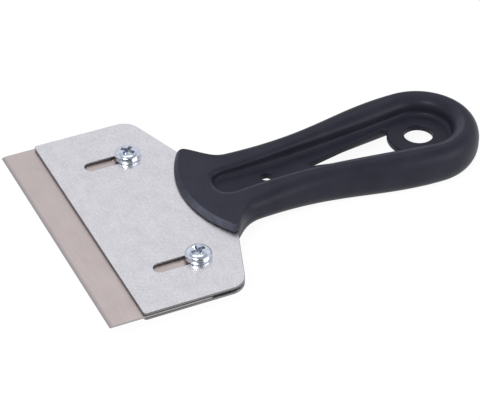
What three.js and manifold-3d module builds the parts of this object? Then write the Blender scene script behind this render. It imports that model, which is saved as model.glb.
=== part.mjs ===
// Paint scraper: a wide blade clamped between two zinc-plated plates, with a moulded loop handle.
// Millimetres, +Z up. X runs from the cutting edge to the hanging end, Y across the blade.
// Z = 0 is the middle of the blade. The origin is the centre of the tool's length.

import * as THREE from 'three';
import { mergeVertices } from 'three/addons/utils/BufferGeometryUtils.js';
import Module from 'manifold-3d';

const wasm = await Module();
wasm.setup();

// Blade
const bladeWidth = 120;
const bladeThickness = 0.8;
const bladeEdgeThickness = 0.2;
const bladeGrindLength = 1.6;
const bladeProjection = 14.4;
const bladeTail = 8.3;
const bladeCornerCut = 13;

// Clamping plates and the spacer between their rear ends
const plateThickness = 1;
const plateTaperDepth = 11.7;
const plateRearWidth = 53.2;
const plateFrontCornerRadius = 1.5;
const plateSideCornerRadius = 8;
const spacerDepth = 8.5;
const spacerWidth = 46;
const spacerToBlade = 5;

// Clamp screws, nuts and washers
const screwDiameter = 5;
const screwLength = 10;
const screwSpacing = 73;
const screwSetback = 33.3;
const headDiameter = 11.2;
const headRimHeight = 1.7;
const headHeight = 3.5;
const crossSpan = 5.4;
const crossWidth = 1.3;
const crossDepth = 1.9;
const crossTurnLeft = 12;
const crossTurnRight = 38;
const washerDiameter = 10;
const washerThickness = 1;
const nutAcrossFlats = 8;
const nutHeight = 4;
const slotTravel = 16.5;

// Handle, outside
const handleLength = 134.8;
const flangeGrip = 12;
const flangeWidth = 60.4;
const flangeLowerWidth = 55;
const flangeFrontRadius = 50;
const flangeTipAngle = 25;
const flangeTipReach = 7.5;
const neckSetback = 26.5;
const neckWidth = 38.4;
const neckAngle = 7;
const neckReach = 5;
const waistReach = 40;
const shoulderReach = 30;
const loopWidth = 51.6;
const frontThickness = 8.6;
const loopThickness = 17;
const taperLength = 90;

// Handle, the rounding of the rim, on the flange and on the loop
const flangeEdgeWidth = 1.6;
const loopEdgeWidth = 5.1;
const loopFlatHeight = 1.5;
const recessEdgeWidth = 1.4;
const recessEdgeHeight = 1.4;
const loopInsideWidth = 2.6;
const loopInsideHeight = 2.6;
const edgeBlendStart = 3;
const edgeBlendEnd = 16;
const insideBlendStart = 13;
const insideBlendEnd = 43;

// Handle, the recess inside the rim, its web and the openings in the web
const recessSetback = 14;
const recessFrontWidth = 15;
const recessFullness = 0.8;
const recessWaistWidth = 14;
const recessWaistSetback = 55.3;
const rimWidth = 11.2;
const webThickness = 3;
const webRoot = 2.7;
const recessFootRadius = 2.3;
const recessFootSink = 0.2;
const hangHoleDiameter = 12.6;
const hangRingWidth = 7.2;
const openingNoseSetback = 54.4;
const openingNoseRadius = 1.4;
const openingTaperAngle = 9.6;
const openingCornerRadius = 1.6;
const coreHoleDiameter = 5;
const coreHoleSetback = 37.3;
const keyDiameter = 4.4;
const keySpacing = 15;
const keySetback = 5;

// Clearances
const slideClearance = 0.3;
const slotClearance = 0.3;
const bladeHoleClearance = 0.3;
const threadClearance = 0.15;
const seatClearance = 0.05;
const mouldClearance = 0.3;

// Facets
const roundSteps = 28;
const arcSteps = 8;
const domeSteps = 5;
const outerEdgeSteps = 5;
const innerEdgeSteps = 4;
const footSteps = 3;
const rimSteps = [9, 7, 8, 12];

// Levels and places that follow from the sizes
const plateInside = bladeThickness / 2 + slideClearance;
const plateOutside = plateInside + plateThickness;
const plateFrontX = bladeProjection;
const screwX = plateFrontX + screwSetback;
const bladeRearX = screwX + bladeTail;
const spacerFrontX = bladeRearX + spacerToBlade;
const plateRearX = spacerFrontX + spacerDepth;
const plateTaperX = plateRearX - plateTaperDepth;
const slotRadius = screwDiameter / 2 + slotClearance;
const slotFrontX = screwX - slotTravel;
const handleFrontX = plateRearX - flangeGrip;
const handleEndX = handleFrontX + handleLength;
const loopRadius = loopWidth / 2;
const hangX = handleEndX - loopRadius;
const recessRadius = loopRadius - rimWidth;
const recessFrontX = handleFrontX + recessSetback;
const keyX = plateRearX - keySetback;

const degrees = Math.PI / 180;

// A closed geometry as a solid that can be joined and cut, without the slivers that merging leaves.
function toSolid(geometry) {
  const bare = geometry.clone();
  bare.deleteAttribute('normal');
  bare.deleteAttribute('uv');
  const merged = mergeVertices(bare, 1e-4);
  const vertProperties = new Float32Array(merged.attributes.position.array);
  const corners = [];
  for (let i = 0; i < merged.index.count; i += 3) {
    const [a, b, c] = merged.index.array.slice(i, i + 3);
    if (a !== b && b !== c && c !== a) {
      corners.push(a, b, c);
    }
  }
  const triVerts = new Uint32Array(corners);
  return new wasm.Manifold(new wasm.Mesh({ numProp: 3, vertProperties, triVerts }));
}

// A solid back as a geometry.
function toGeometry(solid) {
  const mesh = solid.getMesh();
  const geometry = new THREE.BufferGeometry();
  geometry.setAttribute('position', new THREE.BufferAttribute(mesh.vertProperties, 3));
  geometry.setIndex(new THREE.BufferAttribute(mesh.triVerts, 1));
  geometry.computeVertexNormals();
  return geometry;
}

function finish(colour, roughness, metalness) {
  return new THREE.MeshStandardMaterial({ color: colour, roughness, metalness });
}

const zincPlate = finish(0xd0d0d6, 0.45, 0.9);
const bladeSteel = finish(0xbeb4b2, 0.4, 0.95);
const zincBright = finish(0xc4ccd6, 0.25, 1);
const handlePlastic = finish(0x33363f, 0.5, 0);

// A flat sheet from a plan outline, between two levels.
function sheet(shape, bottom, top) {
  const options = { depth: top - bottom, bevelEnabled: false, curveSegments: arcSteps };
  const geometry = new THREE.ExtrudeGeometry(shape, options);
  geometry.translate(0, 0, bottom);
  return geometry;
}

// A round hole as a path for a shape.
function roundHole(x, y, radius) {
  const hole = new THREE.Path();
  hole.absarc(x, y, radius, 0, 2 * Math.PI, true);
  return hole;
}

// A solid or hollow turned piece about Z, from its [radius, height] corners.
function turned(corners) {
  const points = corners.map(([radius, height]) => new THREE.Vector2(radius, height));
  const geometry = new THREE.LatheGeometry(points, roundSteps);
  geometry.rotateX(Math.PI / 2);
  return geometry;
}

// An outline through corners, each rounded with its own radius.
function roundedOutline(shape, corners) {
  const count = corners.length;
  const point = (i) => new THREE.Vector2(corners[(i + count) % count][0], corners[(i + count) % count][1]);
  for (let i = 0; i < count; i += 1) {
    const here = point(i);
    const back = point(i - 1).sub(here).normalize();
    const ahead = point(i + 1).sub(here).normalize();
    const half = Math.acos(THREE.MathUtils.clamp(back.dot(ahead), -1, 1)) / 2;
    const radius = corners[i][2];
    const reach = radius / Math.tan(half);
    const start = here.clone().addScaledVector(back, reach);
    if (i === 0) {
      shape.moveTo(start.x, start.y);
    } else {
      shape.lineTo(start.x, start.y);
    }
    if (radius > 0) {
      const middle = back.clone().add(ahead).normalize();
      const centre = here.clone().addScaledVector(middle, radius / Math.sin(half));
      const end = here.clone().addScaledVector(ahead, reach);
      const from = Math.atan2(start.y - centre.y, start.x - centre.x);
      const to = Math.atan2(end.y - centre.y, end.x - centre.x);
      const clockwise = back.x * ahead.y - back.y * ahead.x > 0;
      shape.absarc(centre.x, centre.y, radius, from, to, clockwise);
    }
  }
  shape.closePath();
  return shape;
}

// Blade: a flat strip with cut rear corners, two screw holes and a ground front edge.
function makeBlade() {
  const side = bladeWidth / 2;
  const cutX = bladeRearX - bladeCornerCut;
  const outline = roundedOutline(new THREE.Shape(), [
    [0, -side, 0],
    [cutX, -side, 0],
    [bladeRearX, bladeCornerCut - side, 0],
    [bladeRearX, side - bladeCornerCut, 0],
    [cutX, side, 0],
    [0, side, 0],
  ]);
  const holeRadius = screwDiameter / 2 + bladeHoleClearance;
  outline.holes.push(roundHole(screwX, -screwSpacing / 2, holeRadius));
  outline.holes.push(roundHole(screwX, screwSpacing / 2, holeRadius));
  const strip = toSolid(sheet(outline, -bladeThickness / 2, bladeThickness / 2));
  const ground = new THREE.Shape();
  const past = bladeGrindLength;
  const slope = (bladeThickness - bladeEdgeThickness) / bladeGrindLength;
  ground.moveTo(bladeGrindLength, bladeThickness / 2);
  ground.lineTo(-past, bladeThickness / 2 - slope * (bladeGrindLength + past));
  ground.lineTo(-past, bladeThickness / 2 + past);
  ground.lineTo(bladeGrindLength, bladeThickness / 2 + past);
  ground.closePath();
  const wedge = new THREE.ExtrudeGeometry(ground, { depth: bladeWidth + 2 * past, bevelEnabled: false });
  wedge.rotateX(Math.PI / 2);
  wedge.translate(0, side + past, 0);
  return toGeometry(strip.subtract(toSolid(wedge)));
}

// Corners of a plate's plan, grown outwards by a margin at its tapered rear.
function plateCorners(margin) {
  const side = bladeWidth / 2;
  const rear = plateRearWidth / 2;
  const lean = Math.atan2(plateTaperDepth, side - rear);
  const grow = margin / Math.cos(lean);
  const rearSide = rear + margin * Math.tan(lean / 2);
  const front = plateFrontCornerRadius;
  const corner = plateSideCornerRadius + margin;
  return [
    [plateFrontX, -side, front],
    [plateTaperX + grow, -side, corner],
    [plateRearX + margin, -rearSide, 0],
    [plateRearX + margin, rearSide, 0],
    [plateTaperX + grow, side, corner],
    [plateFrontX, side, front],
  ];
}

// Places of the three holes that the handle's moulded keys fill.
function keyPlaces() {
  return [-keySpacing, 0, keySpacing].map((y) => [keyX, y]);
}

// Plate: one of the two alike sheets, with two slots and the key holes.
function makePlate(bottom) {
  const outline = roundedOutline(new THREE.Shape(), plateCorners(0));
  for (const side of [-1, 1]) {
    const y = side * screwSpacing / 2;
    const slot = new THREE.Path();
    slot.absarc(screwX, y, slotRadius, Math.PI / 2, -Math.PI / 2, true);
    slot.absarc(slotFrontX, y, slotRadius, -Math.PI / 2, -1.5 * Math.PI, true);
    slot.closePath();
    outline.holes.push(slot);
  }
  for (const [x, y] of keyPlaces()) {
    outline.holes.push(roundHole(x, y, keyDiameter / 2 + mouldClearance));
  }
  return sheet(outline, bottom, bottom + plateThickness);
}

// Spacer: a strip that keeps the two plates a blade's room apart.
function makeSpacer() {
  const side = spacerWidth / 2;
  const outline = roundedOutline(new THREE.Shape(), [
    [spacerFrontX, -side, 0],
    [plateRearX, -side, 0],
    [plateRearX, side, 0],
    [spacerFrontX, side, 0],
  ]);
  for (const [x, y] of keyPlaces()) {
    outline.holes.push(roundHole(x, y, keyDiameter / 2 + mouldClearance));
  }
  const level = plateInside - seatClearance;
  return sheet(outline, -level, level);
}

// Screw: pan head with a cross recess, Z = 0 at the bearing face.
function makeScrew() {
  const rim = headDiameter / 2;
  const dome = headHeight - headRimHeight;
  const corners = [[0, -screwLength], [screwDiameter / 2, -screwLength], [screwDiameter / 2, 0], [rim, 0]];
  for (let i = 0; i < domeSteps; i += 1) {
    const angle = i / domeSteps * Math.PI / 2;
    corners.push([rim * Math.cos(angle), headRimHeight + dome * Math.sin(angle)]);
  }
  corners.push([0, headHeight]);
  let solid = toSolid(turned(corners));
  const tallCut = crossDepth * 2;
  for (const turn of [0, Math.PI / 2]) {
    const arm = new THREE.BoxGeometry(crossSpan, crossWidth, tallCut);
    arm.rotateZ(turn);
    arm.translate(0, 0, headHeight - crossDepth + tallCut / 2);
    solid = solid.subtract(toSolid(arm));
  }
  return toGeometry(solid);
}

// Washer under the nut.
function makeWasher() {
  const bore = screwDiameter / 2 + threadClearance;
  const outside = washerDiameter / 2;
  return turned([[bore, 0], [outside, 0], [outside, washerThickness], [bore, washerThickness], [bore, 0]]);
}

// Nut: a hexagon with its corners turned off at both ends.
function makeNut() {
  const corner = nutAcrossFlats / 2 / Math.cos(30 * degrees);
  const bevel = (corner - nutAcrossFlats / 2) * Math.tan(30 * degrees);
  const hexagon = new THREE.CylinderGeometry(corner, corner, nutHeight, 6);
  hexagon.rotateX(Math.PI / 2);
  hexagon.translate(0, 0, nutHeight / 2);
  const envelope = turned([
    [0, 0],
    [nutAcrossFlats / 2, 0],
    [corner, bevel],
    [corner, nutHeight - bevel],
    [nutAcrossFlats / 2, nutHeight],
    [0, nutHeight],
  ]);
  const bore = screwDiameter / 2 + threadClearance;
  const hole = new THREE.CylinderGeometry(bore, bore, nutHeight * 2, roundSteps);
  hole.rotateX(Math.PI / 2);
  return toGeometry(toSolid(hexagon).intersect(toSolid(envelope)).subtract(toSolid(hole)));
}

// The point where a line from a given point touches a circle about the hanging hole, on the +Y side.
function tangentPoint(from, radius) {
  const away = new THREE.Vector2(from.x - hangX, from.y);
  const turn = Math.acos(radius / away.length());
  const angle = Math.atan2(away.y, away.x) - turn;
  return new THREE.Vector2(hangX + radius * Math.cos(angle), radius * Math.sin(angle));
}

// Outside of the handle in plan, +Y half, from the flange's front to the end of the loop.
function handleOutside(acrossTips) {
  const tipY = acrossTips / 2;
  const frontCentreX = handleFrontX + flangeFrontRadius;
  const tipTurn = Math.asin(tipY / flangeFrontRadius);
  const tip = new THREE.Vector2(frontCentreX - flangeFrontRadius * Math.cos(tipTurn), tipY);
  const neck = new THREE.Vector2(handleFrontX + neckSetback, neckWidth / 2);
  const neckTurn = neckAngle * degrees;
  const along = new THREE.Vector2(Math.cos(neckTurn), -Math.sin(neckTurn));
  const lean = flangeTipAngle * degrees;
  const tipOut = new THREE.Vector2(Math.cos(lean), -Math.sin(lean));
  const frontArc = new THREE.EllipseCurve(
    frontCentreX, 0, flangeFrontRadius, flangeFrontRadius, Math.PI, Math.PI - tipTurn, true);
  const neckCurve = new THREE.CubicBezierCurve(
    tip,
    tip.clone().addScaledVector(tipOut, flangeTipReach),
    neck.clone().addScaledVector(along, -neckReach),
    neck);
  const side = new THREE.CubicBezierCurve(
    neck,
    neck.clone().addScaledVector(along, waistReach),
    new THREE.Vector2(hangX - shoulderReach, loopRadius),
    new THREE.Vector2(hangX, loopRadius));
  const endArc = new THREE.EllipseCurve(hangX, 0, loopRadius, loopRadius, Math.PI / 2, 0, true);
  return [frontArc, neckCurve, side, endArc];
}

// Inside of the rim in plan, +Y half, in four stretches that pair with those of the outside.
function handleInside() {
  const frontY = recessFrontWidth / 2;
  const waistY = recessWaistWidth / 2;
  const front = new THREE.Vector2(recessFrontX, 0);
  const corner = new THREE.Vector2(recessFrontX + frontY, frontY);
  const neck = new THREE.Vector2(handleFrontX + neckSetback, (frontY + waistY) / 2);
  const waist = new THREE.Vector2(handleFrontX + recessWaistSetback, waistY);
  const touch = tangentPoint(waist, recessRadius);
  const touchAngle = Math.atan2(touch.y, touch.x - hangX);
  const round = new THREE.CubicBezierCurve(
    front,
    new THREE.Vector2(recessFrontX, frontY * recessFullness),
    new THREE.Vector2(recessFrontX + frontY * (1 - recessFullness), frontY),
    corner);
  return [
    round,
    new THREE.LineCurve(corner, neck),
    new THREE.QuadraticBezierCurve(neck, waist, touch),
    new THREE.EllipseCurve(hangX, 0, recessRadius, recessRadius, touchAngle, 0, true),
  ];
}

// Half of the handle's thickness at a place along it.
function halfThickness(x) {
  const way = THREE.MathUtils.clamp((x - handleFrontX) / taperLength, 0, 1);
  return THREE.MathUtils.lerp(frontThickness, loopThickness, Math.sin(way * Math.PI / 2)) / 2;
}

// How far a place along the handle lies between two setbacks, 0 to 1.
function share(x, start, end) {
  return THREE.MathUtils.smoothstep(x, handleFrontX + start, handleFrontX + end);
}

// Upper half of the rim's section between a point of its outside and a point of its inside.
function rimHalf(outer, inner) {
  const lerp = THREE.MathUtils.lerp;
  const width = outer.distanceTo(inner);
  const outside = share(outer.x, edgeBlendStart, edgeBlendEnd);
  const inside = share(outer.x, insideBlendStart, insideBlendEnd);
  const outerWidth = lerp(flangeEdgeWidth, loopEdgeWidth, outside);
  const outerHeight = halfThickness(outer.x) - lerp(plateOutside, loopFlatHeight / 2, outside);
  const innerWidth = lerp(recessEdgeWidth, loopInsideWidth, inside);
  const innerHeight = lerp(recessEdgeHeight, loopInsideHeight, inside);
  const profile = [];
  for (let i = 0; i <= outerEdgeSteps; i += 1) {
    const angle = i / outerEdgeSteps * Math.PI / 2;
    profile.push([outerWidth * (1 - Math.cos(angle)), outerHeight * (1 - Math.sin(angle))]);
  }
  for (let i = 0; i <= innerEdgeSteps; i += 1) {
    const angle = i / innerEdgeSteps * Math.PI / 2;
    profile.push([width - innerWidth * (1 - Math.sin(angle)), innerHeight * (1 - Math.cos(angle))]);
  }
  const half = profile.map(([offset, drop]) => {
    const place = outer.clone().lerp(inner, offset / width);
    return new THREE.Vector3(place.x, place.y, halfThickness(place.x) - drop);
  });
  const footLevel = webThickness / 2 - recessFootSink;
  for (let i = 0; i <= footSteps; i += 1) {
    const angle = i / footSteps * Math.PI / 2;
    const place = outer.clone().lerp(inner, 1 + recessFootRadius * (1 - Math.cos(angle)) / width);
    half.push(new THREE.Vector3(place.x, place.y, footLevel + recessFootRadius * (1 - Math.sin(angle))));
  }
  return half;
}

// Section of the rim as a closed ring; the lower half has its own outside.
function rimSection(upperOuter, lowerOuter, inner) {
  const lower = rimHalf(lowerOuter, inner).map((p) => new THREE.Vector3(p.x, p.y, -p.z));
  return rimHalf(upperOuter, inner).concat(lower.reverse());
}

// A body from closed rings that follow each other round and meet again.
function ringBody(rings) {
  const count = rings[0].length;
  const positions = rings.flat().flatMap((p) => [p.x, p.y, p.z]);
  const index = [];
  for (let i = 0; i < rings.length; i += 1) {
    const here = i * count;
    const next = (i + 1) % rings.length * count;
    for (let j = 0; j < count; j += 1) {
      const k = (j + 1) % count;
      index.push(here + j, here + k, next + j);
      index.push(next + j, here + k, next + k);
    }
  }
  const geometry = new THREE.BufferGeometry();
  geometry.setAttribute('position', new THREE.Float32BufferAttribute(positions, 3));
  geometry.setIndex(index);
  return geometry;
}

// Points all round the rim, each as [upper outside, lower outside, inside].
function rimPlaces() {
  const upper = handleOutside(flangeWidth);
  const lower = handleOutside(flangeLowerWidth);
  const inside = handleInside();
  const half = [];
  rimSteps.forEach((count, i) => {
    const stretch = [upper[i], lower[i], inside[i]].map((curve) => curve.getSpacedPoints(count));
    const first = i === 0 ? 0 : 1;
    for (let j = first; j <= count; j += 1) {
      half.push(stretch.map((points) => points[j]));
    }
  });
  const flip = (p) => new THREE.Vector2(p.x, -p.y);
  const other = half.slice(1, -1).reverse().map((place) => place.map(flip));
  return half.concat(other);
}

// The finger opening in the web: a long wedge that ends in an arc round the hanging hole.
function fingerOpening() {
  const lean = openingTaperAngle * degrees;
  const ringRadius = hangHoleDiameter / 2 + hangRingWidth;
  const noseX = handleFrontX + openingNoseSetback + openingNoseRadius;
  const apexX = noseX - openingNoseRadius / Math.sin(lean);
  const reach = ringRadius + openingCornerRadius;
  const height = (hangX - apexX) * Math.sin(lean) - openingCornerRadius;
  const cornerTurn = Math.asin(height / reach) - lean;
  const cornerX = hangX - reach * Math.cos(cornerTurn);
  const cornerY = reach * Math.sin(cornerTurn);
  const opening = new THREE.Path();
  const up = Math.PI / 2 + lean;
  opening.absarc(noseX, 0, openingNoseRadius, up, -up, false);
  opening.absarc(cornerX, -cornerY, openingCornerRadius, -up, cornerTurn, false);
  opening.absarc(hangX, 0, ringRadius, Math.PI + cornerTurn, Math.PI - cornerTurn, true);
  opening.absarc(cornerX, cornerY, openingCornerRadius, -cornerTurn, up, false);
  opening.closePath();
  return opening;
}

// Web: the thin wall inside the rim, with its three openings.
function makeWeb(places) {
  const edge = places.map(([upper, lower, inner]) => {
    const back = lower.clone().sub(inner).normalize();
    return inner.clone().addScaledVector(back, webRoot);
  });
  const outline = new THREE.Shape(edge.reverse());
  outline.holes.push(fingerOpening());
  outline.holes.push(roundHole(hangX, 0, hangHoleDiameter / 2));
  outline.holes.push(roundHole(handleFrontX + coreHoleSetback, 0, coreHoleDiameter / 2));
  return sheet(outline, -webThickness / 2, webThickness / 2);
}

// Handle: rim, flange and web in one moulding, closed round the rear of the plates and keyed through them.
function makeHandle() {
  const places = rimPlaces();
  const rim = toSolid(ringBody(places.map((place) => rimSection(...place))));
  const level = plateOutside + seatClearance;
  const pocketOutline = roundedOutline(new THREE.Shape(), plateCorners(mouldClearance));
  const pocket = toSolid(sheet(pocketOutline, -level, level));
  let solid = rim.add(toSolid(makeWeb(places))).subtract(pocket);
  const keyHeight = 2 * level + plateThickness;
  for (const [x, y] of keyPlaces()) {
    const key = new THREE.CylinderGeometry(keyDiameter / 2, keyDiameter / 2, keyHeight, roundSteps);
    key.rotateX(Math.PI / 2);
    key.translate(x, y, 0);
    solid = solid.add(toSolid(key));
  }
  return toGeometry(solid);
}

const scraper = new THREE.Group();
scraper.position.x = -handleEndX / 2;

function addPiece(name, geometry, material, place = [0, 0, 0], turn = 0) {
  const mesh = new THREE.Mesh(geometry, material);
  mesh.name = name;
  mesh.position.set(...place);
  mesh.rotation.z = turn * degrees;
  scraper.add(mesh);
}

addPiece('handle', makeHandle(), handlePlastic);
addPiece('upper_plate', makePlate(plateInside), zincPlate);
addPiece('lower_plate', makePlate(-plateOutside), zincPlate);
addPiece('spacer', makeSpacer(), zincPlate);
addPiece('blade', makeBlade(), bladeSteel);

const clampSides = [['left', -1, crossTurnLeft], ['right', 1, crossTurnRight]];
const headSeat = plateOutside + seatClearance;
const washerBottom = -plateOutside - seatClearance - washerThickness;
const nutBottom = washerBottom - seatClearance - nutHeight;
for (const [name, side, turn] of clampSides) {
  const y = side * screwSpacing / 2;
  addPiece(`clamp_screw_${name}`, makeScrew(), zincBright, [screwX, y, headSeat], turn);
  addPiece(`washer_${name}`, makeWasher(), zincBright, [screwX, y, washerBottom]);
  addPiece(`nut_${name}`, makeNut(), zincBright, [screwX, y, nutBottom]);
}

export default scraper;
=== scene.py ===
from math import acos, asin, atan2, cos, pi, radians, sin, tan

import bmesh
import bpy
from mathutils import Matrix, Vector
from mathutils.geometry import tessellate_polygon


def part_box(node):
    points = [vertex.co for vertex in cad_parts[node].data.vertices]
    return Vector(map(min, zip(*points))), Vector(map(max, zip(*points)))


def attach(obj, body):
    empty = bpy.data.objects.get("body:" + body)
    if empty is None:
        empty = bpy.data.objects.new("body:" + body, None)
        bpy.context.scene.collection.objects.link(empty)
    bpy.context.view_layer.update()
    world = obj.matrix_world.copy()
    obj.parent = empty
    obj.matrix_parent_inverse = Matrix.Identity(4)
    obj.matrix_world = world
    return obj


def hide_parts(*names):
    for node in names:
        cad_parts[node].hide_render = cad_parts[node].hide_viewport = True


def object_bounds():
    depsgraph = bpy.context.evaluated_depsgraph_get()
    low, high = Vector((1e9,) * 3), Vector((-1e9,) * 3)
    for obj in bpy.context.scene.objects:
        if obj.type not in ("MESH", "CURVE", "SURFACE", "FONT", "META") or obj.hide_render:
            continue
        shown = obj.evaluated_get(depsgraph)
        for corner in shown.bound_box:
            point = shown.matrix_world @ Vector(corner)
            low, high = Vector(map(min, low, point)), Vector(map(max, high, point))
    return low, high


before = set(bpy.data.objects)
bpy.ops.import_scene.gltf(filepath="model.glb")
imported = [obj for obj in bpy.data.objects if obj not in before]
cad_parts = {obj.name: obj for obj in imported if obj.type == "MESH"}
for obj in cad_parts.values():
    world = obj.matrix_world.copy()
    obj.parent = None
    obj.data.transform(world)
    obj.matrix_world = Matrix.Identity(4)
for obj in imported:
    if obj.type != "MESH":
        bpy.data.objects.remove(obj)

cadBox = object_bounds()
mm = 0.001
scene = bpy.context.scene
scene.view_settings.view_transform = "Standard"


# Wires: a socket that can be added, multiplied and plugged in
class Wire:
    def __init__(self, tree, socket):
        self.tree = tree
        self.socket = socket

    def make(self, kind, settings=None, inputs=None, output=0):
        node = self.tree.nodes.new(kind)
        for name, value in (settings or {}).items():
            if name == "stops":
                fillRamp(node.color_ramp, value)
            else:
                setattr(node, name, value)
        for key, value in (inputs or {}).items():
            for one in value if isinstance(value, list) else [value]:
                plug(node, key, one)
        return Wire(self.tree, node.outputs[output]) if node.outputs else node

    def sum(self, operation, first, second):
        return self.make("ShaderNodeMath", {"operation": operation}, {0: first, 1: second})

    def __add__(self, other):
        return self.sum("ADD", self, other)

    def __radd__(self, other):
        return self.sum("ADD", other, self)

    def __sub__(self, other):
        return self.sum("SUBTRACT", self, other)

    def __mul__(self, other):
        return self.sum("MULTIPLY", self, other)

    def __truediv__(self, other):
        return self.sum("DIVIDE", self, other)


def plug(node, key, value):
    if isinstance(value, Wire):
        value.tree.links.new(value.socket, node.inputs[key])
    else:
        node.inputs[key].default_value = value


def fillRamp(ramp, stops):
    while len(ramp.elements) < len(stops):
        ramp.elements.new(1.0)
    for element, (place, colour) in zip(ramp.elements, stops):
        element.position = place
        element.color = colour


def ramp(value, *stops):
    wide = [(place, (level, level, level, 1)) for place, level in stops]
    return value.make("ShaderNodeValToRGB", {"stops": wide}, {"Fac": value})


def noise(place, size, detail=2.0, roughness=0.5, stretch=(1, 1, 1)):  # size of a speck in mm
    drawn = place.make("ShaderNodeMapping", None, {"Vector": place, "Scale": stretch})
    inputs = {"Vector": drawn, "Scale": 1 / (size * mm), "Detail": detail, "Roughness": roughness}
    return place.make("ShaderNodeTexNoise", None, inputs)


def mixColour(share, first, second):
    return share.make("ShaderNodeMix", {"data_type": "RGBA"}, {0: share, 6: first, 7: second}, 2)


def bump(height, strength, depth):  # depth in mm
    inputs = {"Height": height, "Strength": strength, "Distance": depth * mm}
    return height.make("ShaderNodeBump", None, inputs)


def edgeMask(place):  # 1 on the rounded edges of a piece, from its own attribute; on the handle it holds the strength of a painted highlight
    return place.make("ShaderNodeAttribute", {"attribute_name": "edge"}, None, 2)


def startFinish(name):
    finish = bpy.data.materials.new(name)
    finish.use_nodes = True
    tree = finish.node_tree
    shader = tree.nodes["Principled BSDF"]
    place = tree.nodes.new("ShaderNodeTexCoord")
    return finish, shader, Wire(tree, place.outputs["Object"])


# Finishes, with the sizes of specks and the depths of bumps in mm
# the pale blue edge colour of the plastic is a painted highlight
plasticLook = dict(
    deep=(0.0162, 0.0172, 0.0266, 1), pale=(0.0217, 0.023, 0.0342, 1), paintedHighlight=(0.095, 0.1, 0.132, 1),
    cloudSize=9.0, grainSize=0.35, highlightPatchSize=2.5, roughness=0.33, grainRough=0.1, cloudRough=0.06,
    bumpStrength=0.25, bumpDepth=0.03, shine=0.15)


def makePlastic():
    s = plasticLook
    finish, shader, place = startFinish("handlePlastic")
    cloud = noise(place, s["cloudSize"], 3.0)
    grain = noise(place, s["grainSize"], 3.0, 0.6)
    # painted highlight on the handle's edges, broken into patches by noise
    paintedHighlight = edgeMask(place) * ramp(noise(place, s["highlightPatchSize"], 4.0, 0.7), (0.3, 0.5), (0.7, 1.0))
    body = mixColour(ramp(cloud, (0.3, 0.0), (0.7, 1.0)), s["deep"], s["pale"])
    plug(shader, "Base Color", mixColour(paintedHighlight, body, s["paintedHighlight"]))
    plug(shader, "Roughness", s["roughness"] + grain * s["grainRough"] + cloud * s["cloudRough"])
    plug(shader, "Normal", bump(grain, s["bumpStrength"], s["bumpDepth"]))
    shader.inputs["Specular IOR Level"].default_value = s["shine"]
    return finish


# the nearly black cut colour on the sheets' edge walls is bare steel darkened further by painted shade
zincLook = dict(
    dull=(0.69, 0.68, 0.685, 1), bright=(0.88, 0.86, 0.86, 1), cut=(0.15, 0.15, 0.16, 1), cutShadeShare=0.9,
    speckSize=0.75, patchSize=6.0, rolledSize=0.5, rolledStretch=(1, 0.08, 1),
    speckShare=0.68, patchShare=0.16, rolledShare=0.16, roughness=0.24, speckRough=0.14,
    speckBump=0.7, rolledBump=0.3, bumpStrength=0.3, bumpDepth=0.015)


def makeZincSheet():
    s = zincLook
    finish, shader, place = startFinish("zincSheet")
    speck = noise(place, s["speckSize"], 4.0, 0.7)
    patch = noise(place, s["patchSize"], 2.0)
    rolled = noise(place, s["rolledSize"], 2.0, 0.5, s["rolledStretch"])
    mottle = speck * s["speckShare"] + patch * s["patchShare"] + rolled * s["rolledShare"]
    flat = mixColour(ramp(mottle, (0.4, 0.0), (0.6, 1.0)), s["dull"], s["bright"])
    # edge walls: bare cut steel, darkened further as painted shade
    plug(shader, "Base Color", mixColour(edgeMask(place) * s["cutShadeShare"], flat, s["cut"]))
    plug(shader, "Roughness", s["roughness"] + speck * s["speckRough"])
    height = speck * s["speckBump"] + rolled * s["rolledBump"]
    plug(shader, "Normal", bump(height, s["bumpStrength"], s["bumpDepth"]))
    shader.inputs["Metallic"].default_value = 1.0
    return finish


steelLook = dict(
    dull=(0.6, 0.515, 0.485, 1), bright=(0.685, 0.595, 0.565, 1), ground=(0.38, 0.36, 0.36, 1),
    streakSize=0.3, streakStretch=(1, 0.03, 1), stainSize=14.0, streakShare=0.5, stainShare=0.5,
    roughness=0.3, streakRough=0.14, stainRough=0.05, bumpStrength=0.2, bumpDepth=0.01)


def makeBladeSteel():
    s = steelLook
    finish, shader, place = startFinish("bladeSteel")
    streak = noise(place, s["streakSize"], 3.0, 0.6, s["streakStretch"])
    stain = noise(place, s["stainSize"], 3.0, 0.6)
    mottle = streak * s["streakShare"] + stain * s["stainShare"]
    flat = mixColour(ramp(mottle, (0.35, 0.0), (0.65, 1.0)), s["dull"], s["bright"])
    plug(shader, "Base Color", mixColour(edgeMask(place), flat, s["ground"]))
    plug(shader, "Roughness", s["roughness"] + streak * s["streakRough"] + stain * s["stainRough"])
    plug(shader, "Normal", bump(streak, s["bumpStrength"], s["bumpDepth"]))
    shader.inputs["Metallic"].default_value = 1.0
    return finish


brightLook = dict(
    dull=(0.58, 0.63, 0.72, 1), bright=(0.78, 0.82, 0.88, 1), edgeDark=(0.42, 0.44, 0.48, 1), edgeDarkShare=0.4,
    cloudSize=1.6, fineSize=0.12, roughness=0.13, fineRough=0.08, cloudRough=0.05,
    bumpStrength=0.15, bumpDepth=0.006)


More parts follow.
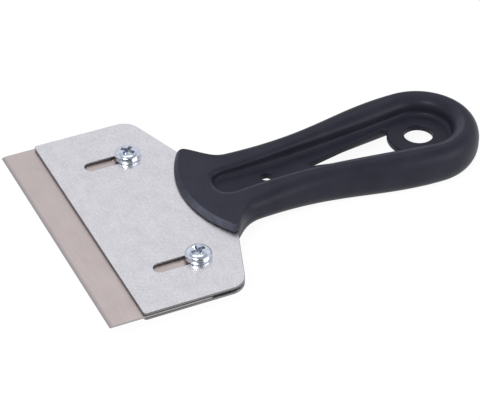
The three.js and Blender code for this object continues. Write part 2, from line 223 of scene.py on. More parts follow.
def makeBrightZinc():
    s = brightLook
    finish, shader, place = startFinish("brightZinc")
    cloud = noise(place, s["cloudSize"], 3.0)
    fine = noise(place, s["fineSize"], 3.0, 0.6)
    flat = mixColour(ramp(cloud, (0.35, 0.0), (0.65, 1.0)), s["dull"], s["bright"])
    # darker on every sharp edge and crease, the cross recess included
    plug(shader, "Base Color", mixColour(edgeMask(place) * s["edgeDarkShare"], flat, s["edgeDark"]))
    plug(shader, "Roughness", s["roughness"] + fine * s["fineRough"] + cloud * s["cloudRough"])
    plug(shader, "Normal", bump(fine, s["bumpStrength"], s["bumpDepth"]))
    shader.inputs["Metallic"].default_value = 1.0
    return finish


plastic = makePlastic()
zincSheet = makeZincSheet()
bladeSteel = makeBladeSteel()
brightZinc = makeBrightZinc()
print("finishes made")


# Plan curves, in mm
def arc(centre, radius, start, end, steps):
    turn = [start + (end - start) * i / steps for i in range(steps + 1)]
    return [Vector((centre[0] + radius * cos(a), centre[1] + radius * sin(a))) for a in turn]


def bezier(points, steps):
    line = []
    for i in range(steps + 1):
        level = list(points)
        while len(level) > 1:
            level = [a.lerp(b, i / steps) for a, b in zip(level, level[1:])]
        line.append(level[0])
    return line


def spaced(line, steps):  # the same line with even steps along its length
    lengths = [0.0]
    for a, b in zip(line, line[1:]):
        lengths.append(lengths[-1] + (b - a).length)
    even = []
    k = 0
    for i in range(steps + 1):
        want = lengths[-1] * i / steps
        while k < len(line) - 2 and lengths[k + 1] < want:
            k += 1
        even.append(line[k].lerp(line[k + 1], (want - lengths[k]) / (lengths[k + 1] - lengths[k])))
    return even


def roundedLoop(corners, steps=10):  # corners as (x, y, radius), counter-clockwise
    loop = []
    for i, (x, y, radius) in enumerate(corners):
        here = Vector((x, y))
        back = (Vector(corners[i - 1][:2]) - here).normalized()
        ahead = (Vector(corners[(i + 1) % len(corners)][:2]) - here).normalized()
        if radius == 0:
            loop.append(here)
            continue
        half = acos(back.dot(ahead)) / 2
        middle = here + (back + ahead).normalized() * radius / sin(half)
        start = here + back * radius / tan(half) - middle
        sweep = pi - 2 * half
        first = atan2(start.y, start.x)
        loop += arc(middle, radius, first, first + sweep, steps)
    return loop


def slotLoop(startX, endX, y, radius, steps=14):  # clockwise, because it is a hole
    loop = arc((startX, y), radius, -pi / 2, -1.5 * pi, steps)
    return loop + arc((endX, y), radius, pi / 2, -pi / 2, steps)


def holeLoop(x, y, radius, steps=48):
    return arc((x, y), radius, 2 * pi, 0, steps)[:-1]


def leftNormals(loop):  # into the material: left of the walk, longer at corners
    normals = []
    for i, here in enumerate(loop):
        before = (here - loop[i - 1]).normalized()
        after = (loop[(i + 1) % len(loop)] - here).normalized()
        side = Vector((-before.y - after.y, before.x + after.x)).normalized()
        normals.append(side / max(0.5, side.dot(Vector((-after.y, after.x)))))
    return normals


def roundedProfile(low, high, radius, steps=4):  # (inset, height) up a wall with round edges
    turn = [i / steps * pi / 2 for i in range(steps + 1)]
    rise = [(radius * (1 - sin(a)), low + radius * (1 - cos(a))) for a in turn]
    return rise + [(inset, low + high - z) for inset, z in reversed(rise)]


# Meshes
weldGap = 0.002  # mm


def addPiece(name, verts, faces, finish, flatFaces=(), edge=None, sharpAngle=40):
    mesh = bpy.data.meshes.new(name)
    mesh.from_pydata([Vector(v) * mm for v in verts], [], faces)
    if edge is not None:
        layer = mesh.attributes.new("edge", "FLOAT", "POINT")
        layer.data.foreach_set("value", edge)
    flat = set(flatFaces)
    for poly in mesh.polygons:
        poly.use_smooth = poly.index not in flat
    piece = bpy.data.objects.new(name, mesh)
    scene.collection.objects.link(piece)
    mesh.materials.append(finish)
    cleanMesh(piece, sharpAngle)
    return piece


def cleanMesh(piece, sharpAngle):
    mesh = bmesh.new()
    mesh.from_mesh(piece.data)
    bmesh.ops.remove_doubles(mesh, verts=mesh.verts, dist=weldGap * mm)
    bmesh.ops.recalc_face_normals(mesh, faces=mesh.faces)
    for line in mesh.edges:
        line.smooth = line.calc_face_angle(0) < radians(sharpAngle)
    mesh.to_mesh(piece.data)
    mesh.free()


def bake(piece):  # modifiers into a plain mesh
    graph = bpy.context.evaluated_depsgraph_get()
    mesh = bpy.data.meshes.new_from_object(piece.evaluated_get(graph))
    piece.modifiers.clear()
    piece.data = mesh


def cutAway(piece, cutter):
    tool = piece.modifiers.new("cut", "BOOLEAN")
    tool.operation = "DIFFERENCE"
    tool.solver = "EXACT"
    tool.object = cutter
    bake(piece)
    bpy.data.objects.remove(cutter)


def settle(piece, body, slot, *nodes):
    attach(piece, body)
    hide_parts(*nodes)


def capLoops(verts, loops):  # triangles that fill loops of vertex numbers, the first one outside
    points = [[Vector(verts[i]) for i in loop] for loop in loops]
    number = [i for loop in loops for i in loop]
    return [tuple(number[i] for i in corner) for corner in tessellate_polygon(points)]


def raiseWall(loop, profile, verts, faces):  # rings of vertex numbers up a loop, joined by faces
    normals = leftNormals(loop)
    rings = []
    for inset, z in profile:
        rings.append(range(len(verts), len(verts) + len(loop)))
        verts += [(*(p + n * inset), z) for p, n in zip(loop, normals)]
    for low, high in zip(rings, rings[1:]):
        for i in range(len(loop)):
            j = (i + 1) % len(loop)
            faces.append((low[i], low[j], high[j], high[i]))
    return rings


def sheetMesh(loops, profile):  # walls up every loop, and both flat faces
    verts = []
    faces = []
    walls = [raiseWall(loop, profile, verts, faces) for loop in loops]
    wallFaces = len(faces)
    edge = [1.0] * len(verts)
    for k in (0, -1):
        for rings in walls:
            for i in rings[k]:
                edge[i] = 0.0
        faces += capLoops(verts, [rings[k] for rings in walls])
    return verts, faces, range(wallFaces, len(faces)), edge


def spinMesh(profileAt, steps, ringed):  # a profile of (radius, height) turned about the upright axis
    verts = []
    faces = []
    count = len(profileAt(0))
    for i in range(steps):
        angle = 2 * pi * i / steps
        verts += [(r * cos(angle), r * sin(angle), z) for r, z in profileAt(angle)]
        following = (i + 1) % steps * count
        for k in range(count if ringed else count - 1):
            other = (k + 1) % count
            faces.append((i * count + k, following + k, following + other, i * count + other))
    return verts, faces


def middleOf(node):
    low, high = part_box(node)
    return (low + high) / 2 / mm


# Clamping plates
plateLow, plateHigh = [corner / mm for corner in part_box("upper_plate")]
screwAt = {side: middleOf("clamp_screw_" + side) for side in ("left", "right")}
bladeLow, bladeHigh = [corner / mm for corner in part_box("blade")]
plateSizes = dict(taper=11.7, rearWidth=53.2, frontRadius=1.5, sideRadius=8.0, edgeRound=0.22,
                  slotRadius=2.8, slotTravel=16.5)


def plateLoop(grow=0.0):
    s = plateSizes
    side = plateHigh.y
    rear = s["rearWidth"] / 2
    lean = atan2(s["taper"], side - rear)
    taperX = plateHigh.x - s["taper"] + grow / cos(lean)
    rearY = rear + grow * tan(lean / 2)
    corner = s["sideRadius"] + grow
    return roundedLoop([
        (plateLow.x, -side, s["frontRadius"]),
        (taperX, -side, corner),
        (plateHigh.x + grow, -rearY, 0),
        (plateHigh.x + grow, rearY, 0),
        (taperX, side, corner),
        (plateLow.x, side, s["frontRadius"]),
    ])


def makePlates():
    s = plateSizes
    loops = [plateLoop()]
    for place in screwAt.values():
        loops.append(slotLoop(place.x - s["slotTravel"], place.x, place.y, s["slotRadius"]))
    for node, name in (("upper_plate", "upperPlateSheet"), ("lower_plate", "lowerPlateSheet")):
        low, high = [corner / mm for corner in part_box(node)]
        verts, faces, flat, edge = sheetMesh(loops, roundedProfile(low.z, high.z, s["edgeRound"]))
        plate = addPiece(name, verts, faces, zincSheet, flat, edge)
        settle(plate, "holder", "plate_zinc", node)


makePlates()
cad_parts["spacer"].data.materials.clear()
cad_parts["spacer"].data.materials.append(zincSheet)
print("plates made")


# Blade
bladeSizes = dict(cornerCut=13.0, holeRadius=2.8, edgeRound=0.08, grindLength=1.6, edgeThickness=0.2,
                  hair=0.0001)  # within a hair of the cut counts as on it


def makeBlade():
    s = bladeSizes
    side = bladeHigh.y
    cut = s["cornerCut"]
    outline = roundedLoop([
        (bladeLow.x, -side, 0),
        (bladeHigh.x - cut, -side, 0),
        (bladeHigh.x, cut - side, 0),
        (bladeHigh.x, side - cut, 0),
        (bladeHigh.x - cut, side, 0),
        (bladeLow.x, side, 0),
    ])
    loops = [outline] + [holeLoop(p.x, p.y, s["holeRadius"]) for p in screwAt.values()]
    profile = roundedProfile(bladeLow.z, bladeHigh.z, s["edgeRound"], 2)
    verts, faces, flat, edge = sheetMesh(loops, profile)
    blade = addPiece("bladeStrip", verts, faces, bladeSteel, flat, edge)
    grindX = (bladeLow.x + s["grindLength"]) * mm
    hair = s["hair"] * mm
    mesh = bmesh.new()
    mesh.from_mesh(blade.data)
    everything = mesh.verts[:] + mesh.edges[:] + mesh.faces[:]
    bmesh.ops.bisect_plane(mesh, geom=everything, plane_co=(grindX, 0, 0), plane_no=(1, 0, 0), dist=hair)
    layer = mesh.verts.layers.float["edge"]
    low = bladeLow.z * mm
    thick = (bladeHigh.z - bladeLow.z) * mm
    thin = s["edgeThickness"] * mm
    for vert in mesh.verts:  # thin the strip towards its cutting edge
        if vert.co.x < grindX - hair:
            share = (vert.co.x / mm - bladeLow.x) / s["grindLength"]
            vert.co.z = low + (vert.co.z - low) * (thin + (thick - thin) * share) / thick
            vert[layer] = 1.0
    mesh.to_mesh(blade.data)
    mesh.free()
    settle(blade, "blade", "blade_steel", "blade")


makeBlade()
print("blade made")


# Screws, with a thread that winds round the shank
screwSizes = dict(headRadius=5.6, rimHeight=0.9, headHeight=3.5, edgeRound=0.3, domeFullness=3.0,
                  crossSpan=6.0, crossWidth=1.6, crossBend=1.25, crossHollow=1.06,
                  coreRadius=2.1, pitch=0.8, length=10.0)
crossLevels = (  # share of the span, share of the width, depth below the top of the head
    (1.25, 1.2, -1.0), (1.0, 1.0, 0.4), (0.5, 0.75, 2.3), (0.12, 0.1, 2.65))
crossTurn = {"left": 12.0, "right": 38.0}  # how each screw was left standing
screwSteps = dict(head=64, dome=20, shank=36)


def makeThreadTree():
    tree = bpy.data.node_groups.new("threadWinder", "GeometryNodeTree")
    tree.interface.new_socket("Geometry", in_out="OUTPUT", socket_type="NodeSocketGeometry")
    for name in ("Core Radius", "Pitch", "Length"):
        tree.interface.new_socket(name, in_out="INPUT", socket_type="NodeSocketFloat")
    tree.interface.new_socket("Seat", in_out="INPUT", socket_type="NodeSocketVector")
    tree.interface.new_socket("Finish", in_out="INPUT", socket_type="NodeSocketMaterial")
    given = tree.nodes.new("NodeGroupInput")
    core, pitch, length, seat, finish = [Wire(tree, given.outputs[i]) for i in range(5)]
    turns = length / pitch - 1.0
    around = screwSteps["shank"]
    path = core.make("GeometryNodeCurveSpiral", None, {
        "Resolution": around, "Rotations": turns, "Start Radius": core, "End Radius": core,
        "Height": length - pitch})
    upright = core.make("GeometryNodeSetCurveNormal", {"mode": "Z_UP"}, {"Curve": path})
    ridge = core.make("GeometryNodeCurvePrimitiveCircle", None, {"Resolution": 4, "Radius": pitch / 2})
    thread = core.make("GeometryNodeCurveToMesh", None, {
        "Curve": upright, "Profile Curve": ridge, "Fill Caps": True})
    shank = core.make("GeometryNodeMeshCylinder", None, {
        "Vertices": around, "Radius": core, "Depth": length})
    ridgeLift = core.make("ShaderNodeCombineXYZ", None, {"Z": pitch / 2})
    wound = core.make("GeometryNodeTransform", None, {"Geometry": thread, "Translation": ridgeLift})
    shankLift = core.make("ShaderNodeCombineXYZ", None, {"Z": length / 2})
    raised = core.make("GeometryNodeTransform", None, {"Geometry": shank, "Translation": shankLift})
    both = core.make("GeometryNodeJoinGeometry", None, {"Geometry": [wound, raised]})
    placed = core.make("GeometryNodeTransform", None, {"Geometry": both, "Translation": seat})
    real = core.make("GeometryNodeRealizeInstances", None, {"Geometry": placed})
    painted = core.make("GeometryNodeSetMaterial", None, {"Geometry": real, "Material": finish})
    plug(tree.nodes.new("NodeGroupOutput"), "Geometry", painted)
    return tree


threadTree = makeThreadTree()


def runTree(name, tree, values):
    piece = bpy.data.objects.new(name, bpy.data.meshes.new(name))
    scene.collection.objects.link(piece)
    maker = piece.modifiers.new("maker", "NODES")
    maker.node_group = tree
    for item in tree.interface.items_tree:
        if item.in_out == "INPUT":
            maker[item.identifier] = values[item.name]
    bake(piece)
    return piece


def headProfile(angle):
    s = screwSizes
    r = s["headRadius"]
    e = s["edgeRound"]
    dome = s["headHeight"] - s["rimHeight"]
    line = [(0.0, 0.0), (r - e, 0.0)]
    line += [(r - e + e * sin(a), e - e * cos(a)) for a in (pi / 6, pi / 3, pi / 2)]
    steps = screwSteps["dome"]
    turn = [i / steps * pi / 2 for i in range(steps)]
    full = 2 / s["domeFullness"]  # a flatter top than an ellipse, with a rounder shoulder
    line += [(r * cos(a) ** full, s["rimHeight"] + dome * sin(a) ** full) for a in turn]
    return line + [(0.0, s["headHeight"])]


def turned(x, y, angle):
    return x * cos(angle) - y * sin(angle), x * sin(angle) + y * cos(angle)


def crossLoop(span, width):  # plan of a cross recess, with hollowed inner corners
    half = width / 2
    arm = span / 2
    bend = half * screwSizes["crossBend"]
    hollow = half * screwSizes["crossHollow"]
    quarter = [(arm, -half), (arm, half), (bend, hollow), (hollow, bend)]
    return [turned(x, y, k * pi / 2) for k in range(4) for x, y in quarter]


def crossCutter(turn, centre, seatZ):
    s = screwSizes
    top = seatZ + s["headHeight"]
    verts = []
    for spanShare, widthShare, depth in crossLevels:
        for x, y in crossLoop(s["crossSpan"] * spanShare, s["crossWidth"] * widthShare):
            x, y = turned(x, y, radians(turn))
            verts.append((centre.x + x, centre.y + y, top - depth))
    count = len(verts) // len(crossLevels)
    faces = [tuple(range(count)), tuple(range(len(verts) - count, len(verts)))]
    for k in range(len(crossLevels) - 1):
        for i in range(count):
            j = (i + 1) % count
            faces.append((k * count + i, k * count + j, (k + 1) * count + j, (k + 1) * count + i))
    return addPiece("crossCutter", verts, faces, brightZinc)


def markEdges(piece, sharpAngle=30):  # edge attribute from the sharp lines of a finished mesh
    cleanMesh(piece, sharpAngle)
    mesh = bmesh.new()
    mesh.from_mesh(piece.data)
    layer = mesh.verts.layers.float.new("edge")
    for vert in mesh.verts:
        vert[layer] = 1.0 if any(not line.smooth for line in vert.link_edges) else 0.0
    mesh.to_mesh(piece.data)
    mesh.free()


def joinPieces(main, other):
    mesh = bmesh.new()
    mesh.from_mesh(main.data)
    mesh.from_mesh(other.data)
    mesh.to_mesh(main.data)
    mesh.free()
    bpy.data.objects.remove(other)


def makeScrew(side):
    s = screwSizes
    centre = screwAt[side]
    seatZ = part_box("clamp_screw_" + side)[1].z / mm - s["headHeight"]
    verts, faces = spinMesh(headProfile, screwSteps["head"], False)
    placed = [(x + centre.x, y + centre.y, z + seatZ) for x, y, z in verts]
    head = addPiece("clampScrew." + side, placed, faces, brightZinc)
    cutAway(head, crossCutter(crossTurn[side], centre, seatZ))
    markEdges(head)
    shank = runTree("shank." + side, threadTree, {
        "Core Radius": s["coreRadius"] * mm, "Pitch": s["pitch"] * mm, "Length": s["length"] * mm,
        "Seat": Vector((centre.x, centre.y, seatZ - s["length"])) * mm, "Finish": brightZinc})
    joinPieces(head, shank)
    settle(head, side + "_screw", "fastener_zinc", "clamp_screw_" + side)


# Washers and nuts
nutSizes = dict(flats=8.0, bore=2.6, countersink=0.35, bevelStart=0.95, bevelAngle=30.0,
                steps=72, sharpAngle=20)
washerSizes = dict(bore=2.75, edgeRound=0.15, steps=64)


def nutProfile(height):
    s = nutSizes
    flat = s["flats"] / 2

    def at(angle):
        corner = flat / cos((angle + pi / 6) % (pi / 3) - pi / 6)
        start = flat * s["bevelStart"]
        drop = (corner - start) * tan(radians(s["bevelAngle"]))
        sink = s["countersink"]
        bore = s["bore"]
        return [(bore, sink), (bore + sink, 0), (start, 0), (corner, drop),
                (corner, height - drop), (start, height), (bore + sink, height), (bore, height - sink)]
    return at


def makeNut(side):
    s = nutSizes
    low, high = [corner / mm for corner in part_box("nut_" + side)]
    centre = middleOf("nut_" + side)
    verts, faces = spinMesh(nutProfile(high.z - low.z), s["steps"], True)
    placed = [(x + centre.x, y + centre.y, z + low.z) for x, y, z in verts]
    nut = addPiece("hexNut." + side, placed, faces, brightZinc)
    markEdges(nut, s["sharpAngle"])
    settle(nut, side + "_nut", "fastener_zinc", "nut_" + side)


def makeWasher(side):
    s = washerSizes
    low, high = [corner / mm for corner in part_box("washer_" + side)]
    centre = middleOf("washer_" + side)
    outside = arc((centre.x, centre.y), (high.x - low.x) / 2, 0, 2 * pi, s["steps"])[:-1]
    inside = holeLoop(centre.x, centre.y, s["bore"])
    profile = roundedProfile(low.z, high.z, s["edgeRound"], 3)
    verts, faces, flat, edge = sheetMesh([outside, inside], profile)
    washer = addPiece("washer." + side, verts, faces, brightZinc, flat, edge)
    settle(washer, side + "_nut", "fastener_zinc", "washer_" + side)


for side in ("left", "right"):
    makeScrew(side)
    makeNut(side)
    makeWasher(side)
print("screws, nuts and washers made")


# Handle: a rim lofted round its recess, with a web across the middle
handleLow, handleHigh = [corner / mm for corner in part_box("handle")]
handleSizes = dict(
    flangeRadius=50.0, flangeWidth=60.4, flangeLowerWidth=58.5, tipAngle=25.0, tipReach=5.5, tipRound=1.8,
    neckSetback=26.5, neckWidth=38.4, neckAngle=7.0, neckReach=12.0, waistReach=40.0, shoulderReach=30.0,
    loopWidth=51.6, frontThickness=8.6, loopThickness=17.0, taperLength=90.0,
    flangeEdge=1.7, flangeWall=1.1, flangeBevel=0.75, tipEdge=1.1, tipStart=7.0, tipEnd=12.0,
    loopEdge=5.1, loopFlat=1.5, edgeStart=11.0, edgeEnd=26.0, edgeBlend=0.5,
    recessEdge=2.2, loopInsideWidth=4.4, loopInsideHeight=4.6, insideStart=45.0, insideEnd=92.0,
    recessSetback=14.0, recessWidth=15.0, recessFullness=0.7, recessWaistWidth=14.0,
    recessWaistSetback=55.3, rimWidth=11.2, webThickness=3.0, footReach=2.0, footShare=0.8, webEdge=0.5,
    hangHole=12.6, ringWidth=7.2, noseSetback=56.8, noseRadius=1.0, openingAngle=12.4, openingCorner=1.6,
    coreHole=5.0, coreSetback=37.3, coreEdge=0.2, pocketGap=0.12, leastStep=0.02, sharpAngle=50)
# painted highlight on the handle: on the flange's flat top, along the recess edge, on the far side's
# edges, growing towards the near side between start and end (mm)
handleHighlight = dict(flange=0.1, recess=0.4, farSide=0.25, start=-8.0, end=14.0)
handleSteps = dict(stretches=(44, 48, 48, 64), outer=12, inner=8, foot=6, side=60, bend=80,
                   nose=16, corner=14, ring=24, hang=72, core=40)
hangX = handleHigh.x - handleSizes["loopWidth"] / 2


def smoothStep(x, start, end):
    t = min(1.0, max(0.0, (x - start) / (end - start)))
    return t * t * (3 - 2 * t)


def mixed(a, b, share):
    return a + (b - a) * share


def loopTouch(point, radius):  # where a line from a point touches a circle about the hanging hole
    away = Vector((point.x - hangX, point.y))
    angle = atan2(away.y, away.x) - acos(radius / away.length)
    return Vector((hangX + radius * cos(angle), radius * sin(angle))), angle


def outsideCurves(tips):
    s = handleSizes
    n = handleSteps
    frontX = handleLow.x
    loopRadius = s["loopWidth"] / 2
    r = s["flangeRadius"]
    tipTurn = asin(tips / 2 / r)
    front = arc((frontX + r, 0), r, pi, pi - tipTurn + s["tipRound"] / r, n["side"])
    tip = Vector((frontX + r - r * cos(tipTurn), tips / 2))
    neck = Vector((frontX + s["neckSetback"], s["neckWidth"] / 2))
    drawIn = radians(s["neckAngle"])
    along = Vector((cos(drawIn), -sin(drawIn)))
    lean = radians(s["tipAngle"])
    tipOut = tip + Vector((cos(lean), -sin(lean))) * s["tipReach"]
    neckIn = neck - along * s["neckReach"]
    shoulder = Vector((hangX - s["shoulderReach"], loopRadius))
    side = [neck, neck + along * s["waistReach"], shoulder, Vector((hangX, loopRadius))]
    return [front, bezier([front[-1], tip, tipOut, neckIn, neck], n["bend"]), bezier(side, n["side"]),
            arc((hangX, 0), loopRadius, pi / 2, 0, n["bend"])]


def insideCurves():
    s = handleSizes
    n = handleSteps
    radius = s["loopWidth"] / 2 - s["rimWidth"]
    recessX = handleLow.x + s["recessSetback"]
    y = s["recessWidth"] / 2
    full = s["recessFullness"]
    corner = Vector((recessX + y, y))
    waist = Vector((handleLow.x + s["recessWaistSetback"], s["recessWaistWidth"] / 2))
    neck = Vector((handleLow.x + s["neckSetback"], (y + waist.y) / 2))
    touch, turn = loopTouch(waist, radius)
    front = [Vector((recessX, 0)), Vector((recessX, y * full)),
             Vector((recessX + y * (1 - full), y)), corner]
    return [bezier(front, n["side"]), [corner, neck], bezier([neck, waist, touch], n["side"]),
            arc((hangX, 0), radius, turn, 0, n["bend"])]


def halfThickness(x):
    s = handleSizes
    way = min(1.0, max(0.0, (x - handleLow.x) / s["taperLength"]))
    return mixed(s["frontThickness"], s["loopThickness"], sin(way * pi / 2)) / 2


def rimHalf(outer, inner):  # upper half of the rim's section, outside to web, as (x, y, z, painted highlight)
    s = handleSizes
    n = handleSteps
    w = handleHighlight
    width = (inner - outer).length
    back = outer.x - handleLow.x
    outside = smoothStep(back, s["edgeStart"], s["edgeEnd"])
    inside = smoothStep(back, s["insideStart"], s["insideEnd"])
    steep = smoothStep(back, s["tipStart"], s["tipEnd"])  # behind its tips the flange drops off steeply
    outerWidth = mixed(mixed(s["flangeEdge"], s["tipEdge"], steep), s["loopEdge"], outside)
    wall = s["flangeWall"] * (1 - outside)
    outerHeight = halfThickness(outer.x) - mixed(plateHigh.z, s["loopFlat"] / 2, outside) - wall
    innerWidth = mixed(s["recessEdge"], s["loopInsideWidth"], inside)
    innerHeight = mixed(s["recessEdge"], s["loopInsideHeight"], inside)
    bevel = s["flangeBevel"] * (1 - outside)  # the flange's edge is nearly a flat bevel
    near = smoothStep(-outer.y, w["start"], w["end"])  # the painted highlight is stronger on the near side, where the light falls
    # painted sheen on the flange's flat top
    topHighlight = w["flange"] * (1 - outside)
    # painted highlight on the outer edge, strongest on the near side
    edgeHighlight = (1 - outside) * (1 - steep) * mixed(w["farSide"], 1.0, near)
    top = [(0.0, outerHeight + wall, 0.0)]  # distance across, drop from the top, painted highlight
    for i in range(n["outer"] + 1):
        way = i / n["outer"]
        a = way * pi / 2
        drop = outerHeight * mixed(1 - sin(a), 1 - way, bevel)
        top.append((outerWidth * mixed(1 - cos(a), way, bevel), drop, edgeHighlight))
    top.append((outerWidth + s["edgeBlend"], 0.0, topHighlight))
    top.append((width - innerWidth - s["edgeBlend"], 0.0, topHighlight))
    # painted highlight line along the recess's inner edge, on the near side only
    for i in range(n["inner"] + 1):
        a = i / n["inner"] * pi / 2
        drop = innerHeight * (1 - cos(a))
        top.append((width - innerWidth * (1 - sin(a)), drop, w["recess"] * cos(a) * near))
    line = []
    for across, drop, highlight in top:
        place = outer.lerp(inner, across / width)
        line.append((place.x, place.y, halfThickness(place.x) - drop, highlight))
    web = s["webThickness"] / 2
    rise = (halfThickness(inner.x) - innerHeight - web) * s["footShare"]
    for i in range(n["foot"] + 1):
        a = i / n["foot"] * pi / 2
        place = outer.lerp(inner, (width + s["footReach"] * (1 - cos(a))) / width)
        line.append((place.x, place.y, web + rise * (1 - sin(a)), 0.0))
    return line


def rimPlaces():
    s = handleSizes
    sides = [outsideCurves(s["flangeWidth"]), outsideCurves(s["flangeLowerWidth"]), insideCurves()]
    half = []
    for i, count in enumerate(handleSteps["stretches"]):
        stretch = [spaced(curves[i], count) for curves in sides]
        for j in range(0 if i == 0 else 1, count + 1):
            half.append([points[j] for points in stretch])
    other = [[Vector((p.x, -p.y)) for p in place] for place in half[1:-1]]
    return half + other[::-1]


def openingLoop():  # long wedge that ends in an arc round the hanging hole, clockwise
    s = handleSizes
    n = handleSteps
    lean = radians(s["openingAngle"])
    ring = s["hangHole"] / 2 + s["ringWidth"]
    nose = s["noseRadius"]
    corner = s["openingCorner"]
    noseX = handleLow.x + s["noseSetback"] + nose
    apexX = noseX - nose / sin(lean)
    reach = ring + corner
    turn = asin(((hangX - apexX) * sin(lean) - corner) / reach) - lean
    cornerX = hangX - reach * cos(turn)
    cornerY = reach * sin(turn)
    up = pi / 2 + lean
    loop = arc((noseX, 0), nose, up, 2 * pi - up, n["nose"])
    loop += arc((cornerX, -cornerY), corner, -up, turn, n["corner"])
    loop += arc((hangX, 0), ring, pi + turn, pi - turn, n["ring"])
    loop += arc((cornerX, cornerY), corner, -turn, up, n["corner"])
    return loop[::-1]


def makeHandle():
    s = handleSizes
    n = handleSteps
    verts = []
    faces = []
    edge = []
    rings = []
    for upperOuter, lowerOuter, inner in rimPlaces():
        upper = rimHalf(upperOuter, inner)
        lower = [(x, y, -z, highlight) for x, y, z, highlight in rimHalf(lowerOuter, inner)]
        section = lower[::-1] + upper
        rings.append(range(len(verts), len(verts) + len(section)))
        verts += [point[:3] for point in section]
        # the edge attribute carries the painted highlight's strength
        edge += [point[3] for point in section]
    for here, after in zip(rings, rings[1:] + rings[:1]):
        for k in range(len(here) - 1):
            faces.append((here[k], here[k + 1], after[k + 1], after[k]))
    caps = [[[ring[k] for ring in rings]] for k in (0, -1)]
    holes = [(openingLoop(), s["webEdge"]),
             (holeLoop(hangX, 0, s["hangHole"] / 2, n["hang"]), s["webEdge"]),
             (holeLoop(handleLow.x + s["coreSetback"], 0, s["coreHole"] / 2, n["core"]), s["coreEdge"])]
    web = s["webThickness"] / 2
    for loop, edgeRound in holes:
        clean = [p for i, p in enumerate(loop) if (p - loop[i - 1]).length > s["leastStep"]]
        wall = raiseWall(clean, roundedProfile(-web, web, edgeRound), verts, faces)
        caps[0].append(wall[0])
        caps[1].append(wall[-1])
    edge += [0.0] * (len(verts) - len(edge))
    wallFaces = len(faces)
    for loops in caps:
        faces += capLoops(verts, loops)
    flat = range(wallFaces, len(faces))
    handle = addPiece("handleMoulding", verts, faces, plastic, flat, edge, s["sharpAngle"])
    level = plateHigh.z + s["pocketGap"]
    pocket = sheetMesh([plateLoop(s["pocketGap"])], [(0.0, -level), (0.0, level)])
    cutAway(handle, addPiece("pocketCutter", pocket[0], pocket[1], plastic))
    settle(handle, "holder", "handle_plastic", "handle")


makeHandle()
print("handle made")


# Studio
studio = dict(
    floorSize=6.0, floorGap=0.0002, floorShadow=0.1, floorGrey=(0.82, 0.82, 0.82, 1), floorGlow=1.04,
    darkWay=(-0.42, -0.908), roomStops=((0.66, 1.0), (0.83, 0.14)), tint=(0.98, 0.99, 1.06),
    heightStops=((0.0, 0.64), (0.14, 0.66), (0.5, 0.87), (0.66, 0.87), (0.82, 0.5), (1.0, 0.35)))


def makeFloor():
    s = studio
    level = cadBox[0][2] - s["floorGap"]
    half = s["floorSize"] / 2
    corners = [(-half, -half, level), (half, -half, level), (half, half, level), (-half, half, level)]
    mesh = bpy.data.meshes.new("floor")
    mesh.from_pydata(corners, [], [(0, 1, 2, 3)])
    floor = bpy.data.objects.new("floor", mesh)
    scene.collection.objects.link(floor)
    finish, shader = startFinish("floorWhite")[:2]
    shader.inputs["Base Color"].default_value = s["floorGrey"]
    shader.inputs["Roughness"].default_value = 1.0
    shader.inputs["Specular IOR Level"].default_value = 0.0
    tree = finish.node_tree
    glow = tree.nodes.new("ShaderNodeEmission")
    glow.inputs["Strength"].default_value = s["floorGlow"]
    seen = tree.nodes.new("ShaderNodeLightPath")
    watched = Wire(tree, seen.outputs["Is Camera Ray"]) + Wire(tree, seen.outputs["Is Glossy Ray"])
    blend = tree.nodes.new("ShaderNodeMixShader")
    plug(blend, 0, watched * (1 - s["floorShadow"]))
    tree.links.new(shader.outputs[0], blend.inputs[1])
    tree.links.new(glow.outputs[0], blend.inputs[2])
    tree.links.new(blend.outputs[0], tree.nodes["Material Output"].inputs["Surface"])
    mesh.materials.append(finish)


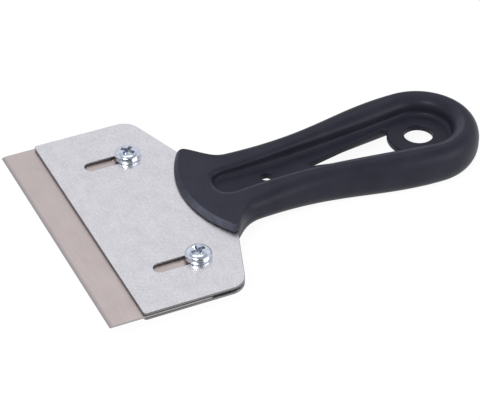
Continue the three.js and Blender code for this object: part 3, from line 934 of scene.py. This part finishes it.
def makeWorld():
    s = studio
    world = bpy.data.worlds.new("studioWhite")
    scene.world = world
    world.use_nodes = True
    tree = world.node_tree
    ground = tree.nodes["Background"]
    place = tree.nodes.new("ShaderNodeTexCoord")
    split = tree.nodes.new("ShaderNodeSeparateXYZ")
    tree.links.new(place.outputs["Generated"], split.inputs[0])
    x, y, z = [Wire(tree, split.outputs[i]) for i in range(3)]
    facing = x * s["darkWay"][0] + y * s["darkWay"][1]  # towards the camera's end of the room
    level = ramp(z, *s["heightStops"]) * ramp(facing * 0.5 + 0.5, *s["roomStops"])
    red, green, blue = [level * share for share in s["tint"]]
    sky = level.make("ShaderNodeCombineColor", None, {"Red": red, "Green": green, "Blue": blue})
    seen = Wire(tree, tree.nodes.new("ShaderNodeLightPath").outputs["Is Camera Ray"])
    plug(ground, "Color", mixColour(seen, sky, (1, 1, 1, 1)))
    ground.inputs["Strength"].default_value = 1.0


lamps = {  # name: place, aim, size and power
    "topBox": dict(place=(0.05, 0.3, 1.0), aim=(0, 0, 0), size=(0.6, 0.4), power=1.0),
    "leftBox": dict(place=(-0.6, -0.45, 0.85), aim=(-0.03, 0, 0), size=(0.35, 0.35), power=7.0),
    "rightBox": dict(place=(0.6, -0.8, 0.3), aim=(0.03, 0, 0), size=(0.8, 0.5), power=4.5),
}


def makeLamps():
    for name, s in lamps.items():
        data = bpy.data.lights.new(name, "AREA")
        data.shape = "RECTANGLE"
        data.size, data.size_y = s["size"]
        data.energy = s["power"]
        lamp = bpy.data.objects.new(name, data)
        lamp.location = s["place"]
        lamp.rotation_euler = (Vector(s["aim"]) - Vector(s["place"])).to_track_quat("-Z", "Y").to_euler()
        scene.collection.objects.link(lamp)


view = dict(azimuth=-24.8, elevation=38.0, distance=942.8, target=(-20.85, -16.2, 1.7), lens=173.4,
            sensor=36.0, reach=20.0)


def makeCamera():
    data = bpy.data.cameras.new("photoView")
    data.lens = view["lens"]
    data.sensor_width = view["sensor"]
    data.clip_end = view["reach"]
    a = radians(view["azimuth"])
    e = radians(view["elevation"])
    back = Vector((sin(a) * cos(e), -cos(a) * cos(e), sin(e)))
    camera = bpy.data.objects.new("photoView", data)
    camera.location = (Vector(view["target"]) + back * view["distance"]) * mm
    camera.rotation_euler = (-back).to_track_quat("-Z", "Y").to_euler()
    scene.collection.objects.link(camera)
    scene.camera = camera


makeFloor()
makeWorld()
makeLamps()
makeCamera()
print("studio made")
